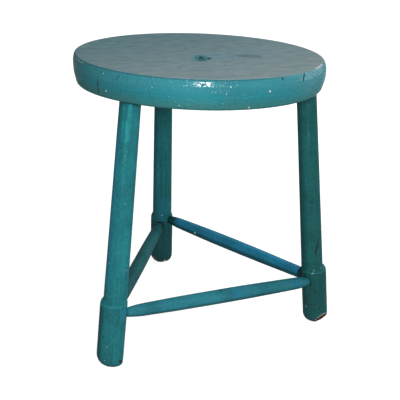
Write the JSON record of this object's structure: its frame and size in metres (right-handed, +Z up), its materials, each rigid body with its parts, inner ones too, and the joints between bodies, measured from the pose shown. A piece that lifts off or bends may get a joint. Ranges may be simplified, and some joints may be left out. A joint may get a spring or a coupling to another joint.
{
  "type": "tripod stool",
  "caption": "Low round painted wooden stool: a thick turned seat on splayed collared legs, tied near the floor by a triangle of barrel-shaped stretchers.",
  "frame": {"origin": "on the floor, under the middle of the stool's bounding box; the seat's own axis is 14.4 mm from it towards -Y", "axes": "+Z up, out of the seat's top; +X from the left leg to the right leg, as seen from the front; +Y towards the back leg"},
  "size_m": [0.3176, 0.3288, 0.344],
  "materials": {
    "seat_paint": "brushed gloss paint, teal, over grainy wood with a knot",
    "leg_paint": "brushed gloss paint, dark teal, chipped at the feet",
    "stretcher_paint": "brushed gloss paint, dark blue teal"
  },
  "bodies": {
    "root": {"seat": "seat_paint", "leg_left": "leg_paint", "leg_right": "leg_paint", "leg_back": "leg_paint", "stretcher_front": "stretcher_paint", "stretcher_right": "stretcher_paint", "stretcher_left": "stretcher_paint"}
  },
  "joints": []
}
